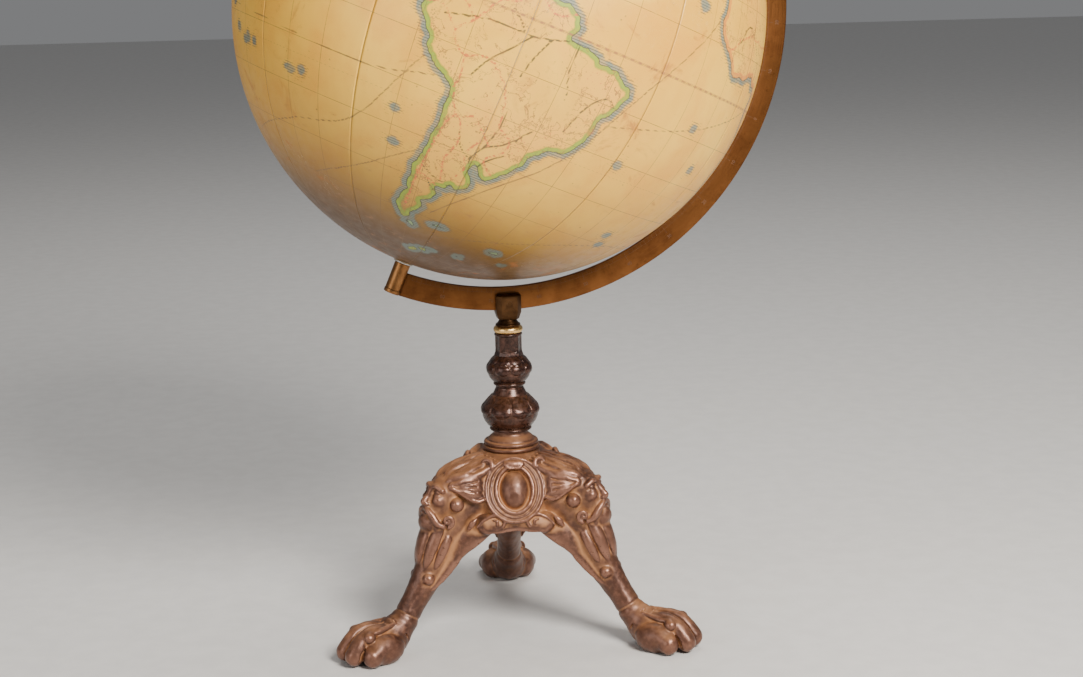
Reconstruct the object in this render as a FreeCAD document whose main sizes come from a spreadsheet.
"""Terrestrial table globe on a cast tripod stand, as separate pieces in one frame.

Frame: origin on the floor under the column, +Z up, the stand's plain front side towards -Y.
The globe turns on a tilted polar axis held by a half meridian, and the meridian swivels on the column.
"""
import FreeCAD, Part
import math
import os
import Sketcher

DIMENSIONS = [
    # the globe and its polar axis
    ("globe_radius", 159.0, "one metre round the equator"),
    ("globe_height", 384.2, "centre of the globe above the floor"),
    ("axis_tilt", 23.5, "degrees between the polar axis and the vertical"),
    ("ring_turn", 8.75, "degrees that the meridian stands turned on the column at rest"),
    ("gore_thickness", 0.25, "printed paper"),
    ("gore_count", 12, "printed strips round the globe"),
    ("gore_seam", 0.05, "degrees left open between two strips"),
    ("cap_reach", 12.0, "radius of the round paper at each pole"),
    ("plaster_thickness", 1.5, "smooth coat under the paper"),
    ("shell_thickness", 3.0, "pulp board of the two half shells"),
    ("tape_thickness", 0.6, "linen strip inside the joint of the half shells"),
    ("tape_width", 22.0, "width of that strip"),
    ("pole_hole_radius", 2.4, "opening round the axle at each pole"),
    ("post_radius", 11.0, "turned wooden post between the poles"),
    ("post_end_radius", 32.0, "disc at each end of the post"),
    ("post_end_thickness", 12.0, "thickness of that disc at its rim"),
    ("tack_circle", 24.0, "distance of the tacks from the polar axis"),
    ("tack_radius", 0.9, "tacks that hold the shells to the post"),
    ("tack_length", 9.0, "length of a tack"),
    ("tack_count", 6, "tacks at each pole"),
    ("pin_radius", 2.0, "steel pins at the poles"),
    ("pin_depth", 22.0, "how far a pin goes into the post"),
    ("turning_clearance", 0.05, "between a turning pin and its hole, on the radius"),
    # the meridian
    ("ring_inner_radius", 165.5, "inside edge of the half meridian"),
    ("ring_width", 14.5, "radial width of the bar"),
    ("ring_thickness", 3.0, "thickness of the bar"),
    ("sleeve_radius", 4.9, "sleeves at the ends of the meridian"),
    ("sleeve_gap", 1.6, "from the globe to the sleeve, filled by the washer"),
    ("washer_radius", 6.0, "washers at the poles"),
    ("washer_thickness", 1.3, "their thickness"),
    ("finial_radius", 5.0, "ball on the north pivot screw"),
    # the clamp that carries the meridian
    ("clamp_width", 15.6, "along the meridian"),
    ("clamp_depth", 14.0, "across the meridian"),
    ("clamp_top", 214.5, "height above the floor"),
    ("clamp_facet_height", 203.2, "where the block starts to taper downwards"),
    ("clamp_foot", 198.4, "foot of the taper"),
    ("clamp_taper", 27.0, "degrees of the lower facets"),
    ("clamp_corner", 3.0, "cut corners of the block"),
    ("neck_radius", 5.4, "narrowest part of the neck"),
    ("neck_foot_radius", 7.7, "foot of the neck on the brass ring"),
    ("clamp_pin_radius", 1.5, "pin through block and meridian"),
    ("clamp_pin_height", 209.0, "its height above the floor"),
    ("spigot_radius", 4.0, "spigot that turns in the shaft"),
    ("spigot_length", 15.5, "below the neck"),
    # the column
    ("base_top", 116.3, "top of the tripod casting"),
    ("collar_radius", 17.9, "lower ring of the stepped collar"),
    ("collar_step_radius", 17.0, "upper ring of the stepped collar"),
    ("collar_step", 2.9, "height of each ring"),
    ("collar_neck_radius", 10.3, "top of the collar"),
    ("collar_top", 128.4, "joint between collar and lower knop"),
    ("lower_knop_radius", 18.5, "widest part of the lower knop"),
    ("knop_lip_radius", 13.1, "small ring at the foot of the lower knop"),
    ("knop_lip_height", 1.8, "height of that ring"),
    ("lower_knop_rim", 139.0, "lower edge of its rim"),
    ("lower_knop_belly", 143.2, "upper edge of its rim"),
    ("waist_height", 156.0, "joint between the knops"),
    ("waist_radius", 8.9, "radius at that joint"),
    ("bead_height", 3.4, "bead under the upper knop"),
    ("upper_knop_radius", 14.7, "widest part of the upper knop"),
    ("upper_knop_belly", 166.7, "height of its widest part"),
    ("shaft_foot", 175.7, "joint between upper knop and shaft"),
    ("shaft_top", 189.8, "top of the eight-sided shaft"),
    ("shaft_radius", 8.2, "corner radius of the shaft"),
    ("tenon_radius", 5.5, "tenon of the shaft in the upper knop"),
    ("tenon_foot", 164.0, "foot of that tenon"),
    ("bearing_radius", 9.3, "brass ring under the clamp"),
    ("bearing_top", 194.4, "top of the brass ring"),
    ("rod_radius", 3.0, "tie rod through the column"),
    ("rod_foot", 97.0, "lower end of the tie rod"),
    ("rod_head", 174.8, "upper end, screwed into the shaft"),
    ("nut_radius", 5.8, "corner radius of the tie nut"),
    ("nut_height", 5.0, "height of the tie nut"),
    ("tie_washer_radius", 9.0, "washer under the casting"),
    ("tie_washer_thickness", 1.6, "its thickness"),
    # the tripod casting
    ("hub_plate", 9.0, "thickness of the casting's top"),
    ("hub_shoulder_radius", 23.5, "outer edge of the casting's top"),
    ("hub_radius", 39.0, "foot of the hub"),
    ("hub_foot", 76.0, "lower edge of the hub between the legs"),
    ("hub_wall", 6.0, "thickness of the hub's wall"),
    ("hip_reach", 29.0, "distance of the leg's uppermost section from the axis"),
    ("hip_height", 88.0, "its height above the floor"),
    ("hip_depth", 17.0, "its half depth in the leg's plane"),
    ("hip_breadth", 17.0, "its half breadth across that plane"),
    ("knee_reach", 48.0, "distance of the knee from the axis"),
    ("knee_height", 73.0, "height of the knee above the floor"),
    ("knee_depth", 15.5, "half depth of the knee in the leg's plane"),
    ("knee_breadth", 13.5, "half breadth of the knee across it"),
    ("shin_reach", 62.0, "distance of the shin from the axis"),
    ("shin_height", 50.0, "height of the shin above the floor"),
    ("shin_depth", 10.5, "half depth of the shin in the leg's plane"),
    ("shin_breadth", 9.0, "half breadth of the shin across it"),
    ("ankle_reach", 75.0, "distance of the ankle from the axis"),
    ("ankle_height", 30.0, "height of the ankle above the floor"),
    ("ankle_depth", 8.4, "half depth of the ankle in the leg's plane"),
    ("ankle_breadth", 7.8, "half breadth of the ankle across it"),
    ("heel_reach", 90.0, "distance of the heel from the axis"),
    ("heel_height", 11.5, "height of the heel above the floor"),
    ("heel_depth", 10.5, "half depth of the heel in the leg's plane"),
    ("heel_breadth", 12.0, "half breadth of the heel across it"),
    ("leg_lean", 38.0, "degrees that the leg sections lean outwards"),
    ("paw_reach", 101.0, "centre of the paw"),
    ("paw_length", 19.0, "half length"),
    ("paw_breadth", 14.0, "half breadth"),
    ("paw_height", 10.5, "half height"),
    ("toe_reach", 118.5, "centres of the toes from the axis"),
    ("toe_length", 10.5, "half length of a toe"),
    ("toe_breadth", 4.6, "half breadth of a toe"),
    ("toe_height", 7.6, "half height of a toe"),
    ("toe_spread", 3.9, "degrees between two toes"),
    ("toe_count", 4, "toes on a paw"),
    ("head_reach", 47.5, "mask on each knee: centre from the axis"),
    ("head_height", 93.4, "height above the floor"),
    ("head_length", 17.5, "half height of the head"),
    ("head_breadth", 13.5, "half breadth"),
    ("head_depth", 15.0, "half depth"),
    ("head_lean", 20.0, "degrees that the head leans back"),
    ("cartouche_reach", 29.6, "oval shield between two legs: centre from the axis"),
    ("cartouche_height", 96.6, "height above the floor"),
    ("cartouche_lean", 25.0, "degrees that its face leans back"),
    ("cartouche_breadth", 17.6, "half breadth of the frame"),
    ("cartouche_length", 20.2, "half height of the frame"),
    ("cartouche_depth", 5.0, "half thickness of the frame"),
    ("boss_breadth", 9.1, "half breadth of the plain oval boss"),
    ("boss_length", 12.5, "half height"),
    ("boss_depth", 9.0, "half thickness"),
    ("leg_count", 3, "legs round the hub"),
    ("first_leg", 90.0, "degrees from +X to the rear leg"),
]

POLAR_FRAME = ("create(<<placement>>; create(<<vector>>; 0; 0; dims.globe_height); "
               "create(<<rotation>>; dims.ring_turn; dims.axis_tilt; 0))")
TURNED_FRAME = "create(<<placement>>; create(<<vector>>; 0; 0; 0); create(<<rotation>>; dims.ring_turn; 0; 0))"
RING_OUTER = "dims.ring_inner_radius + dims.ring_width"
PLASTER_OUTER = "dims.globe_radius - dims.gore_thickness"
SHELL_OUTER = PLASTER_OUTER + " - dims.plaster_thickness"
SHELL_INNER = SHELL_OUTER + " - dims.shell_thickness"
SLEEVE_FOOT = "dims.globe_radius + dims.sleeve_gap"
PIN_HOLE = "dims.pin_radius + dims.turning_clearance"
POCKET_REACH = 40.0
NEUTRAL = 1e-9

doc = FreeCAD.newDocument("globe")
sheet = doc.addObject("Spreadsheet::Sheet", "dims")
for row, (alias, size, note) in enumerate(DIMENSIONS, start=1):
    sheet.set("A%d" % row, alias)
    sheet.set("B%d" % row, str(size))
    sheet.set("C%d" % row, note)
    sheet.setAlias("B%d" % row, alias)
doc.recompute()


# ---------------------------------------------------------------- helpers

def number(formula):
    """Value of a formula over the sheet's names."""
    return float(sheet.evalExpression(formula))


def bind(feature, **formulas):
    """Bind properties of a feature to formulas over the sheet."""
    for name, formula in formulas.items():
        feature.setExpression(name, formula)
    return feature


def frame_at(across, along, up, yaw="0", pitch="0", roll="0"):
    """Formula for a placement from a point and yaw, pitch and roll in degrees."""
    return ("create(<<placement>>; create(<<vector>>; %s; %s; %s); create(<<rotation>>; %s; %s; %s))"
            % (across, along, up, yaw, pitch, roll))


def new_body(label, placement=None):
    body = doc.addObject("PartDesign::Body", label)
    body.Label = label
    body.AllowCompound = True
    if placement:
        bind(body, Placement=placement)
    return body


def origin_plane(body, role):
    return next(item for item in body.Origin.OriginFeatures if item.Role == role)


def new_sketch(body, role):
    sketch = body.newObject("Sketcher::SketchObject", body.Name + "_outline")
    sketch.AttachmentSupport = [(origin_plane(body, role), "")]
    sketch.MapMode = "FlatFace"
    return sketch


def arc_between(start, end, radius):
    """Short arc from start to end, anticlockwise for a positive radius and clockwise for a negative one."""
    chord = end - start
    half = chord.Length / 2
    rise = math.sqrt(max(radius * radius - half * half, 0.0))
    left = FreeCAD.Vector(-chord.y, chord.x, 0).normalize()
    centre = (start + end) * 0.5 + left * (rise if radius > 0 else -rise)
    angles = [math.atan2(point.y - centre.y, point.x - centre.x) for point in (start, end)]
    if radius < 0:
        angles.reverse()
    if angles[1] < angles[0]:
        angles[1] += 2 * math.pi
    circle = Part.Circle(centre, FreeCAD.Vector(0, 0, 1), abs(radius))
    return Part.ArcOfCircle(circle, angles[0], angles[1])


def hold_point(sketch, edge, vertex, formulas, values):
    """Fix one corner of an outline at its two formulas."""
    kinds = ("DistanceX", "DistanceY")
    axes = (-2, -1)
    for kind, axis, formula, value in zip(kinds, axes, formulas, values):
        if abs(value) < NEUTRAL:
            sketch.addConstraint(Sketcher.Constraint("PointOnObject", edge, vertex, axis))
            continue
        index = sketch.addConstraint(Sketcher.Constraint(kind, edge, vertex, value))
        sketch.setExpression("Constraints[%d]" % index, formula)


def closed_outline(sketch, corners):
    """Closed outline through corners (x, y) or (x, y, radius of the arc to the next corner)."""
    points = [FreeCAD.Vector(number(corner[0]), number(corner[1]), 0) for corner in corners]
    first = sketch.GeometryCount
    ends = []
    for place, corner in enumerate(corners):
        start = points[place]
        end = points[(place + 1) % len(points)]
        if len(corner) == 2:
            sketch.addGeometry(Part.LineSegment(start, end))
            ends.append((1, 2))
            continue
        radius = number(corner[2])
        edge = sketch.addGeometry(arc_between(start, end, radius))
        ends.append((1, 2) if radius > 0 else (2, 1))
        index = sketch.addConstraint(Sketcher.Constraint("Radius", edge, abs(radius)))
        size = corner[2] if radius > 0 else "-(%s)" % corner[2]
        sketch.setExpression("Constraints[%d]" % index, size)
    for place, corner in enumerate(corners):
        following = (place + 1) % len(corners)
        sketch.addConstraint(Sketcher.Constraint(
            "Coincident", first + place, ends[place][1], first + following, ends[following][0]))
        hold_point(sketch, first + place, ends[place][0], corner[:2], (points[place].x, points[place].y))


def turned(label, corners, placement=None, angle=360.0):
    """Body made by turning an outline, given as radius and height, about its Z axis."""
    body = new_body(label, placement)
    sketch = new_sketch(body, "XZ_Plane")
    closed_outline(sketch, corners)
    turn = body.newObject("PartDesign::Revolution", label + "_turn")
    turn.Profile = sketch
    turn.ReferenceAxis = (sketch, ["V_Axis"])
    turn.Angle = angle
    return body


def body_cylinder(body, kind, radius, height, up):
    """Additive or subtractive cylinder on the body's Z axis, from the height up."""
    solid = body.newObject("PartDesign::%sCylinder" % kind, body.Name + "_bore")
    return bind(solid, Radius=radius, Height=height, Placement=frame_at("0", "0", up))


def body_prism(body, sides, radius, height, up):
    """Additive prism on the body's Z axis, with one corner on the X axis."""
    solid = body.newObject("PartDesign::AdditivePrism", body.Name + "_prism")
    solid.Polygon = sides
    return bind(solid, Circumradius=radius, Height=height, Placement=frame_at("0", "0", up))


def cross_hole(body, across, up, radius):
    """Round hole through the whole body, along its Y axis."""
    sketch = new_sketch(body, "XZ_Plane")
    sketch.addGeometry(Part.Circle(FreeCAD.Vector(number(across), number(up), 0),
                                   FreeCAD.Vector(0, 0, 1), number(radius)))
    hold_point(sketch, 0, 3, (across, up), (number(across), number(up)))
    index = sketch.addConstraint(Sketcher.Constraint("Radius", 0, number(radius)))
    sketch.setExpression("Constraints[%d]" % index, radius)
    pocket = body.newObject("PartDesign::Pocket", body.Name + "_cross_hole")
    pocket.Profile = sketch
    pocket.Midplane = True
    pocket.Length = POCKET_REACH
    return pocket


def sphere_corner(radius, across):
    """Height on a sphere of this radius at a distance from its axis."""
    return "sqrt((%s)^2 - (%s)^2)" % (radius, across)


# ---------------------------------------------------------------- tripod casting

def leg_section(azimuth, place):
    """Ellipse across the leg at one of its named stations."""
    ellipse = doc.addObject("Part::Ellipse", place + "_section")
    reach = "dims.%s_reach" % place
    return bind(
        ellipse,
        MajorRadius="max(dims.%s_depth; dims.%s_breadth + 0.001)" % (place, place),
        MinorRadius="dims.%s_breadth" % place,
        Placement=frame_at("cos(%s) * %s" % (azimuth, reach), "sin(%s) * %s" % (azimuth, reach),
                           "dims.%s_height" % place, azimuth, "-dims.leg_lean"))


def lump(name, azimuth, place, length, breadth, height, pitch="0", reach=None, up=None):
    """Ellipsoid with its half sizes along the leg, across it and upwards."""
    solid = doc.addObject("Part::Ellipsoid", name)
    solid.Angle1 = -90
    reach = reach or "dims.%s_reach" % place
    up = up or "dims.%s_height" % place
    return bind(
        solid, Radius2=length, Radius3=breadth, Radius1=height,
        Placement=frame_at("cos(%s) * %s" % (azimuth, reach), "sin(%s) * %s" % (azimuth, reach),
                           up, azimuth, pitch))


def one_leg(azimuth):
    """Curved leg with a mask on the knee and a paw of four toes."""
    leg = doc.addObject("Part::Loft", "leg")
    leg.Sections = [leg_section(azimuth, place) for place in ("hip", "knee", "shin", "ankle", "heel")]
    leg.Solid = True
    solids = [leg]
    solids.append(lump("head", azimuth, "head", "dims.head_depth", "dims.head_breadth",
                       "dims.head_length", "-dims.head_lean"))
    solids.append(lump("paw", azimuth, "paw", "dims.paw_length", "dims.paw_breadth", "dims.paw_height",
                       up="dims.paw_height - 1"))
    for toe in range(int(sheet.toe_count)):
        swing = "(%s) + dims.toe_spread * (%d - (dims.toe_count - 1) / 2)" % (azimuth, toe)
        solids.append(lump("toe", swing, "toe", "dims.toe_length", "dims.toe_breadth", "dims.toe_height",
                           up="dims.toe_height - 1"))
    return solids


def one_cartouche(azimuth):
    """Leaning oval shield with a plain oval boss, between two legs."""
    frame = lump("shield", azimuth, "cartouche", "dims.cartouche_depth", "dims.cartouche_breadth",
                 "dims.cartouche_length", "-dims.cartouche_lean")
    boss = lump("boss", azimuth, "cartouche", "dims.boss_depth", "dims.boss_breadth",
                "dims.boss_length", "-dims.cartouche_lean")
    return [frame, boss]


def tripod_base():
    hub = turned("hub", [
        ("0", "dims.hub_foot"),
        ("dims.hub_radius", "dims.hub_foot"),
        ("dims.hub_radius", "dims.hub_foot + 6", "30"),
        ("dims.hub_shoulder_radius", "dims.base_top - 3"),
        ("dims.collar_radius + 1", "dims.base_top"),
        ("0", "dims.base_top")])
    solids = [hub]
    for index in range(int(sheet.leg_count)):
        azimuth = "dims.first_leg + %d * 360 / dims.leg_count" % index
        solids += one_leg(azimuth)
        solids += one_cartouche("(%s) + 180 / dims.leg_count" % azimuth)
    casting = doc.addObject("Part::MultiFuse", "casting")
    casting.Shapes = solids
    cavity = doc.addObject("Part::Cone", "cavity")
    bind(cavity, Radius1="dims.hub_radius - dims.hub_wall", Radius2="dims.hub_shoulder_radius - dims.hub_wall",
         Height="dims.base_top - dims.hub_plate - dims.hub_foot + 20",
         Placement=frame_at("0", "0", "dims.hub_foot - 20"))
    rod_hole = doc.addObject("Part::Cylinder", "rod_hole")
    bind(rod_hole, Radius="dims.rod_radius", Height="dims.base_top", Placement=frame_at("0", "0", "1"))
    floor = doc.addObject("Part::Cylinder", "floor")
    bind(floor, Radius="dims.toe_reach + 50", Height="30", Placement=frame_at("0", "0", "-30"))
    removed = doc.addObject("Part::MultiFuse", "removed")
    removed.Shapes = [cavity, rod_hole, floor]
    base = doc.addObject("Part::Cut", "tripod_base")
    base.Base = casting
    base.Tool = removed
    base.Label = "tripod_base"
    return base


# ---------------------------------------------------------------- column

def base_collar():
    step = "dims.base_top + dims.collar_step"
    return turned("base_collar", [
        ("dims.rod_radius", "dims.base_top"),
        ("dims.collar_radius - 0.8", "dims.base_top", "dims.collar_step * 0.6"),
        ("dims.collar_radius - 0.8", step),
        ("dims.collar_step_radius - 0.9", step, "dims.collar_step * 0.6"),
        ("dims.collar_step_radius - 0.9", step + " + dims.collar_step"),
        ("dims.collar_step_radius - 2.2", step + " + dims.collar_step + 0.4", "-14"),
        ("dims.collar_neck_radius", "dims.collar_top"),
        ("dims.rod_radius", "dims.collar_top")])


def lower_knop():
    return turned("lower_knop", [
        ("dims.rod_radius", "dims.collar_top"),
        ("dims.knop_lip_radius - 0.8", "dims.collar_top", "dims.knop_lip_height * 0.6"),
        ("dims.knop_lip_radius - 0.8", "dims.collar_top + dims.knop_lip_height", "18"),
        ("dims.lower_knop_radius - 0.6", "dims.lower_knop_rim", "dims.lower_knop_belly - dims.lower_knop_rim"),
        ("dims.lower_knop_radius - 0.6", "dims.lower_knop_belly", "-30"),
        ("dims.waist_radius", "dims.waist_height"),
        ("dims.rod_radius", "dims.waist_height")])


def upper_knop():
    bead = "dims.waist_height + dims.bead_height"
    return turned("upper_knop", [
        ("dims.rod_radius", "dims.waist_height"),
        ("dims.waist_radius", "dims.waist_height", "dims.bead_height * 0.6"),
        ("dims.waist_radius", bead, "12"),
        ("dims.upper_knop_radius", "dims.upper_knop_belly", "9"),
        ("dims.shaft_radius", "dims.shaft_foot"),
        ("dims.tenon_radius", "dims.shaft_foot"),
        ("dims.tenon_radius", "dims.tenon_foot"),
        ("dims.rod_radius", "dims.tenon_foot")])


def column_shaft():
    """Eight-sided shaft with a round tenon below and a bore for the spigot above."""
    body = new_body("column_shaft")
    body_prism(body, 8, "dims.shaft_radius", "dims.shaft_top - dims.shaft_foot", "dims.shaft_foot")
    body_cylinder(body, "Additive", "dims.tenon_radius", "dims.shaft_foot - dims.tenon_foot", "dims.tenon_foot")
    body_cylinder(body, "Subtractive", "dims.spigot_radius + dims.turning_clearance",
                  "dims.shaft_top - dims.bearing_top + dims.spigot_length + 0.5",
                  "dims.bearing_top - dims.spigot_length - 0.5")
    body_cylinder(body, "Subtractive", "dims.rod_radius", "dims.rod_head - dims.tenon_foot", "dims.tenon_foot")
    return body


def bearing_ring():
    """Polished brass ring between the shaft and the swivelling clamp."""
    return turned("bearing_ring", [
        ("dims.spigot_radius + dims.turning_clearance", "dims.shaft_top"),
        ("dims.bearing_radius - 1.6", "dims.shaft_top", "(dims.bearing_top - dims.shaft_top) * 0.56"),
        ("dims.bearing_radius - 1.6", "dims.bearing_top"),
        ("dims.spigot_radius + dims.turning_clearance", "dims.bearing_top")])


def tie_rod():
    rod = doc.addObject("Part::Cylinder", "tie_rod")
    rod.Label = "tie_rod"
    return bind(rod, Radius="dims.rod_radius", Height="dims.rod_head - dims.rod_foot",
                Placement=frame_at("0", "0", "dims.rod_foot"))


def ring_plate(label, radius, hole, height, placement):
    """Flat washer or sleeve: a tube standing on its own frame."""
    body = new_body(label, placement)
    body_cylinder(body, "Additive", radius, height, "0")
    body_cylinder(body, "Subtractive", hole, height, "0")
    return body


def tie_washer():
    foot = "dims.base_top - dims.hub_plate - dims.tie_washer_thickness"
    return ring_plate("tie_washer", "dims.tie_washer_radius", "dims.rod_radius",
                      "dims.tie_washer_thickness", frame_at("0", "0", foot))


def tie_nut():
    foot = "dims.base_top - dims.hub_plate - dims.tie_washer_thickness - dims.nut_height"
    body = new_body("tie_nut", frame_at("0", "0", foot))
    body_prism(body, 6, "dims.nut_radius", "dims.nut_height", "0")
    body_cylinder(body, "Subtractive", "dims.rod_radius", "dims.nut_height", "0")
    return body


# ---------------------------------------------------------------- clamp and meridian

def cut_corner_rectangle(sketch, half_across, half_along, cut):
    """Rectangle about the sketch's origin with its four corners cut off."""
    corners = []
    for sign_x, sign_y in ((1, -1), (1, 1), (-1, 1), (-1, -1)):
        near = ("%d * (%s - %s)" % (sign_x, half_across, cut), "%d * %s" % (sign_y, half_along))
        far = ("%d * %s" % (sign_x, half_across), "%d * (%s - %s)" % (sign_y, half_along, cut))
        corners += [near, far] if sign_x * sign_y < 0 else [far, near]
    closed_outline(sketch, corners)


def block_pad(body, length, reverse, taper="0"):
    """Pad of the clamp's cut-corner section from the height where its facets meet."""
    sketch = new_sketch(body, "XY_Plane")
    bind(sketch, **{".AttachmentOffset.Base.z": "dims.clamp_facet_height"})
    cut_corner_rectangle(sketch, "dims.clamp_width / 2", "dims.clamp_depth / 2", "dims.clamp_corner")
    pad = body.newObject("PartDesign::Pad", body.Name + "_block")
    pad.Profile = sketch
    pad.Reversed = reverse
    return bind(pad, Length=length, TaperAngle=taper)


def ring_clamp():
    """Forked block on a concave neck and a spigot, with a slot for the meridian."""
    body = turned("ring_clamp", [
        ("0", "dims.bearing_top - dims.spigot_length"),
        ("dims.spigot_radius", "dims.bearing_top - dims.spigot_length"),
        ("dims.spigot_radius", "dims.bearing_top"),
        ("dims.neck_foot_radius", "dims.bearing_top"),
        ("dims.neck_foot_radius", "dims.bearing_top + 0.8", "-6"),
        ("dims.neck_radius", "dims.clamp_foot"),
        ("dims.neck_radius", "dims.clamp_facet_height"),
        ("0", "dims.clamp_facet_height")], TURNED_FRAME)
    block_pad(body, "dims.clamp_top - dims.clamp_facet_height", False)
    block_pad(body, "dims.clamp_facet_height - dims.clamp_foot", True, "-dims.clamp_taper")
    slot = new_sketch(body, "YZ_Plane")
    floor = "dims.globe_height - (%s)" % RING_OUTER
    half = "dims.ring_thickness / 2"
    closed_outline(slot, [
        ("-" + half, floor), (half, floor), (half, "dims.clamp_top + 1"), ("-" + half, "dims.clamp_top + 1")])
    pocket = body.newObject("PartDesign::Pocket", "ring_clamp_slot")
    pocket.Profile = slot
    pocket.Midplane = True
    pocket.Length = POCKET_REACH
    cross_hole(body, "0", "dims.clamp_pin_height", "dims.clamp_pin_radius")
    return body


def clamp_pin():
    """Plain pin across the fork and the meridian, flush with the block."""
    pin = doc.addObject("Part::Cylinder", "clamp_pin")
    pin.Label = "clamp_pin"
    return bind(pin, Radius="dims.clamp_pin_radius", Height="dims.clamp_depth",
                Placement="%s * %s" % (TURNED_FRAME, frame_at(
                    "0", "dims.clamp_depth / 2", "dims.clamp_pin_height", "0", "0", "90")))


def meridian_ring():
    """Flat half ring whose ends are cut to the round of the two sleeves."""
    body = new_body("meridian_ring", POLAR_FRAME)
    sketch = new_sketch(body, "XZ_Plane")
    across = "dims.sleeve_radius * 0.6"
    outer_end = sphere_corner(RING_OUTER, across)
    inner_end = sphere_corner("dims.ring_inner_radius", across)
    closed_outline(sketch, [
        (across, "-" + outer_end, RING_OUTER), (across, outer_end),
        (across, inner_end, "-dims.ring_inner_radius"), (across, "-" + inner_end)])
    pad = body.newObject("PartDesign::Pad", "meridian_ring_bar")
    pad.Profile = sketch
    pad.Midplane = True
    bind(pad, Length="dims.ring_thickness")
    body_cylinder(body, "Subtractive", "dims.sleeve_radius", "2 * dims.globe_height", "-dims.globe_height")
    pin_reach = "(dims.globe_height - dims.clamp_pin_height)"
    cross_hole(body, pin_reach + " * sin(dims.axis_tilt)", "-%s * cos(dims.axis_tilt)" % pin_reach,
               "dims.clamp_pin_radius")
    return body


def pole_sleeve(label, south):
    """Tube at one end of the meridian; the pivot turns inside it."""
    length = "(%s - (%s))" % (RING_OUTER, SLEEVE_FOOT)
    foot = "-(%s)" % RING_OUTER if south else SLEEVE_FOOT
    place = "%s * %s" % (POLAR_FRAME, frame_at("0", "0", foot))
    return ring_plate(label, "dims.sleeve_radius", PIN_HOLE, length, place)


def pole_washer(label, south):
    foot = "-(%s)" % SLEEVE_FOOT if south else "%s - dims.washer_thickness" % SLEEVE_FOOT
    place = "%s * %s" % (POLAR_FRAME, frame_at("0", "0", foot))
    return ring_plate(label, "dims.washer_radius", PIN_HOLE, "dims.washer_thickness", place)


# ---------------------------------------------------------------- globe

def south_pivot_pin():
    pin = doc.addObject("Part::Cylinder", "south_pivot_pin")
    pin.Label = "south_pivot_pin"
    foot = "-(%s) + 0.4" % RING_OUTER
    head = "-(%s) + dims.pin_depth" % SHELL_INNER
    return bind(pin, Radius="dims.pin_radius", Height="%s - (%s)" % (head, foot),
                Placement="%s * %s" % (POLAR_FRAME, frame_at("0", "0", foot)))


def north_pivot_screw():
    """Long screw put in from outside, with a turned collar and ball."""
    seat = "%s + 0.3" % RING_OUTER
    return turned("north_pivot_screw", [
        ("0", "%s - dims.pin_depth" % SHELL_INNER),
        ("dims.pin_radius", "%s - dims.pin_depth" % SHELL_INNER),
        ("dims.pin_radius", seat),
        ("dims.finial_radius", seat, "1.5"),
        ("dims.finial_radius", seat + " + 2"),
        ("dims.finial_radius * 0.45", seat + " + 3", "-2.5"),
        ("dims.finial_radius * 0.5", seat + " + 5", "dims.finial_radius"),
        ("0", seat + " + 5 + (1 + sqrt(0.75)) * dims.finial_radius")], POLAR_FRAME)


def axle_post():
    """Turned wooden post; its end discs fit the inside of the half shells."""
    rim = sphere_corner(SHELL_INNER, "dims.post_end_radius")
    inner = "(%s - dims.post_end_thickness)" % rim
    socket = "(%s - dims.pin_depth)" % SHELL_INNER
    mouth = sphere_corner(SHELL_INNER, "dims.pin_radius")
    return turned("axle_post", [
        ("0", "-" + socket), ("dims.pin_radius", "-" + socket),
        ("dims.pin_radius", "-" + mouth, SHELL_INNER), ("dims.post_end_radius", "-" + rim),
        ("dims.post_end_radius", "-" + inner), ("dims.post_radius", "-" + inner),
        ("dims.post_radius", inner), ("dims.post_end_radius", inner),
        ("dims.post_end_radius", rim, SHELL_INNER), ("dims.pin_radius", mouth),
        ("dims.pin_radius", socket), ("0", socket)], POLAR_FRAME)


def half_shell(label, sign):
    """Pulp-board half shell, sign -1 for the south and +1 for the north."""
    outer = sphere_corner(SHELL_OUTER, "dims.pole_hole_radius")
    inner = sphere_corner(SHELL_INNER, "dims.pole_hole_radius")
    turn = "" if sign > 0 else "-"
    back = "-" if sign > 0 else ""
    return turned(label, [
        (SHELL_INNER, "0"),
        (SHELL_OUTER, "0", turn + "(%s)" % SHELL_OUTER),
        ("dims.pole_hole_radius", turn + outer),
        ("dims.pole_hole_radius", turn + inner, back + "(%s)" % SHELL_INNER)], POLAR_FRAME)


def sphere_band(label, outer, inner, outer_height, inner_height):
    """Spherical layer between two radii, up to a height on each side of the equator."""
    outer_across = sphere_corner(outer, outer_height)
    inner_across = sphere_corner(inner, inner_height)
    return turned(label, [
        (outer_across, "-(%s)" % outer_height, outer), (outer_across, outer_height),
        (inner_across, inner_height, "-(%s)" % inner), (inner_across, "-(%s)" % inner_height)], POLAR_FRAME)


def seam_tape():
    inner = SHELL_INNER + " - dims.tape_thickness"
    return sphere_band("seam_tape", SHELL_INNER, inner, "dims.tape_width / 2", "dims.tape_width / 2")


def plaster_coat():
    return sphere_band("plaster_coat", PLASTER_OUTER, SHELL_OUTER,
                       sphere_corner(PLASTER_OUTER, "dims.pole_hole_radius"),
                       sphere_corner(SHELL_OUTER, "dims.pole_hole_radius"))


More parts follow.
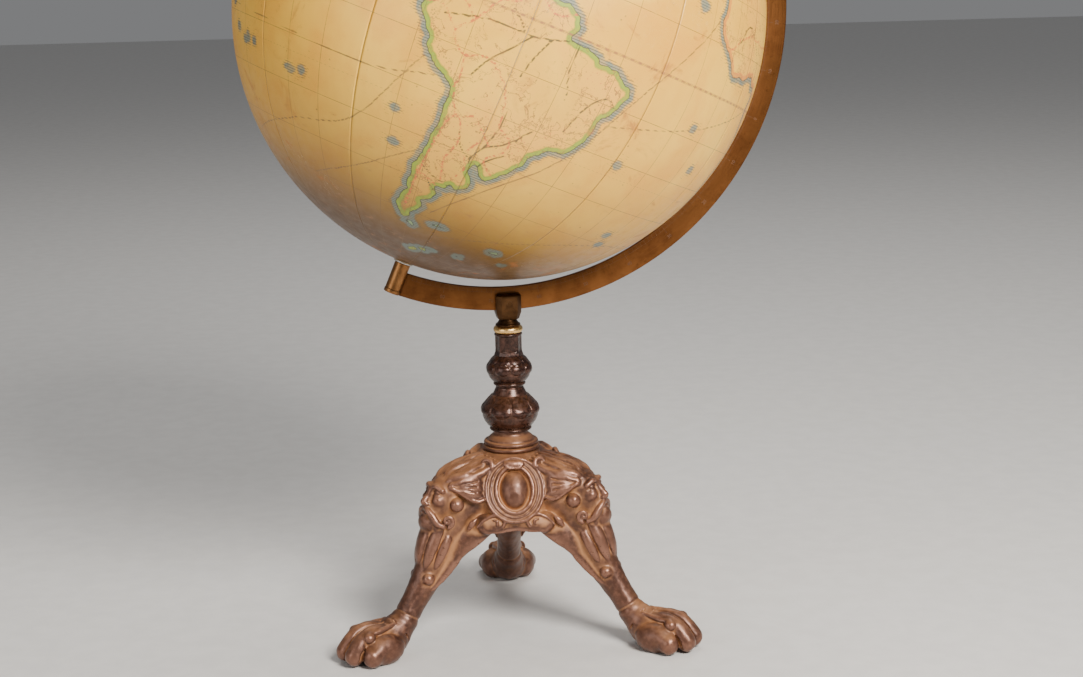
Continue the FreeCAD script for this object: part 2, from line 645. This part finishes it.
def map_gores():
    """Printed paper strips from pole paper to pole paper, one turned strip repeated round the axis."""
    body = sphere_band("map_gores", "dims.globe_radius", PLASTER_OUTER,
                       sphere_corner("dims.globe_radius", "dims.cap_reach"),
                       sphere_corner(PLASTER_OUTER, "dims.cap_reach"))
    strip = body.Tip
    bind(strip, Angle="360 / dims.gore_count - dims.gore_seam")
    doc.recompute()
    pattern = body.newObject("PartDesign::PolarPattern", "map_gores_round")
    pattern.Originals = [strip]
    pattern.Axis = (origin_plane(body, "Z_Axis"), [""])
    pattern.Angle = 360
    bind(pattern, Occurrences="dims.gore_count")
    body.Tip = pattern
    return body


def polar_caps():
    """Round papers over the points of the strips, one at each pole."""
    body = new_body("polar_caps", POLAR_FRAME)
    sketch = new_sketch(body, "XZ_Plane")
    rim = "dims.cap_reach - 0.1"
    hole = "dims.pole_hole_radius"
    for turn, back in (("", "-"), ("-", "")):
        closed_outline(sketch, [
            (rim, turn + sphere_corner("dims.globe_radius", rim), turn + "dims.globe_radius"),
            (hole, turn + sphere_corner("dims.globe_radius", hole)),
            (hole, turn + sphere_corner(PLASTER_OUTER, hole), back + "(%s)" % PLASTER_OUTER),
            (rim, turn + sphere_corner(PLASTER_OUTER, rim))])
    turn = body.newObject("PartDesign::Revolution", "polar_caps_turn")
    turn.Profile = sketch
    turn.ReferenceAxis = (sketch, ["V_Axis"])
    return body


def shell_tacks():
    """Tacks through the half shells into the post, in a circle at each pole."""
    tacks = []
    lean = "asin(dims.tack_circle / (%s))" % SHELL_OUTER
    for pole in (0, 180):
        for index in range(int(sheet.tack_count)):
            tack = doc.addObject("Part::Cylinder", "tack")
            swing = "360 / dims.tack_count * %d" % index
            place = "%s * %s * %s" % (
                frame_at("0", "0", "0", "0", str(pole)), frame_at("0", "0", "0", swing, lean),
                frame_at("0", "0", "%s - dims.tack_length" % SHELL_OUTER))
            tacks.append(bind(tack, Radius="dims.tack_radius", Height="dims.tack_length", Placement=place))
    group = doc.addObject("Part::Compound", "shell_tacks")
    group.Label = "shell_tacks"
    group.Links = tacks
    return bind(group, Placement=POLAR_FRAME)


# ---------------------------------------------------------------- build, check and write

def check(parts):
    """Stop when any object failed or any sub-part isn't a sound shape of its own."""
    for item in doc.Objects:
        if any(word in item.State for word in ("Invalid", "Error")):
            raise RuntimeError("%s is in state %s" % (item.Name, item.State))
    for part in parts:
        if part.Shape.isNull() or not part.Shape.isValid() or not part.Shape.Solids:
            raise RuntimeError("%s has no sound shape" % part.Label)


parts = [
    tripod_base(), base_collar(), lower_knop(), upper_knop(), column_shaft(), bearing_ring(), tie_rod(),
    tie_washer(), tie_nut(), ring_clamp(), clamp_pin(), meridian_ring(),
    pole_sleeve("south_sleeve", True), pole_sleeve("north_sleeve", False),
    pole_washer("south_washer", True), pole_washer("north_washer", False),
    south_pivot_pin(), north_pivot_screw(), axle_post(),
    half_shell("globe_shell_south", -1), half_shell("globe_shell_north", 1),
    seam_tape(), plaster_coat(), map_gores(), polar_caps(), shell_tacks()]
doc.recompute()
check(parts)
os.makedirs("parts", exist_ok=True)
for part in parts:
    part.Shape.exportStep("parts/%s.step" % part.Label)
    print("%-20s %2d solid(s) %12.1f mm3" % (part.Label, len(part.Shape.Solids), part.Shape.Volume))
